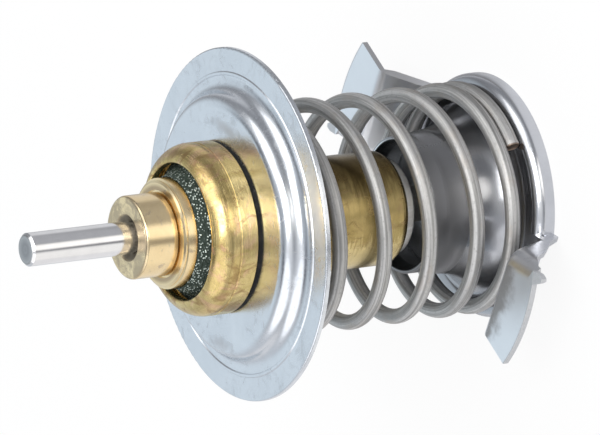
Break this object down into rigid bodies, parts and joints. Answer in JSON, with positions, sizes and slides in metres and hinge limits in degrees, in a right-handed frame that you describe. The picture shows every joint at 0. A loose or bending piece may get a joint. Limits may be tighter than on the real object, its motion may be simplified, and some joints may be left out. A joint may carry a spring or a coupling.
{
  "type": "engine coolant thermostat",
  "caption": "Insert coolant thermostat: piston pin, brass wax element, pressed valve disc, coil spring and a flared bridge with two bayonet wings; the valve opens against the spring.",
  "frame": {"origin": "centre of the edge of the bridge's skirt, on the valve axis, where the part stands", "axes": "+Z along the valve axis towards the piston pin; +X through the middle of one bayonet wing"},
  "size_m": [0.0556, 0.048, 0.0723],
  "materials": {
    "pin_steel": "ground, satin",
    "guide_brass": "turned, warm golden, lightly stained",
    "seal_rubber": "dark, grainy",
    "cup_brass": "drawn, tarnished",
    "washer_dark": "dark, thin",
    "boot_rubber": "moulded, matt",
    "wax": "copper-filled wax",
    "disc_steel": "pressed, polished",
    "stud_steel": "turned",
    "washer_steel": "punched",
    "clip_steel": "blued spring steel",
    "spring_steel": "drawn wire, dull",
    "bridge_steel": "pressed, bright"
  },
  "bodies": {
    "bridge": {"bridge": "bridge_steel", "main_spring": "spring_steel"},
    "element": {"element_cup": "cup_brass", "seat_washer": "washer_dark", "piston_guide": "guide_brass", "sealing_ring": "seal_rubber", "rubber_boot": "boot_rubber", "wax_charge": "wax", "valve_disc": "disc_steel", "tail_stud": "stud_steel", "stop_washer": "washer_steel", "retaining_clip": "clip_steel"},
    "pin": {"piston_pin": "pin_steel"}
  },
  "joints": [
    {"name": "valve_lift", "type": "slide", "parent": "bridge", "child": "element", "axis": [0, 0, -1], "range_m": [0, 0.007], "stiffness_N_per_m": 1300, "springref_m": -0.024, "deforming": ["main_spring"]},
    {"name": "pin_stroke", "type": "slide", "parent": "element", "child": "pin", "axis": [0, 0, 1], "range_m": [0, 0.007]}
  ],
  "couplings": [
    {"joint": "pin_stroke", "follows": "valve_lift", "ratio": 1}
  ]
}
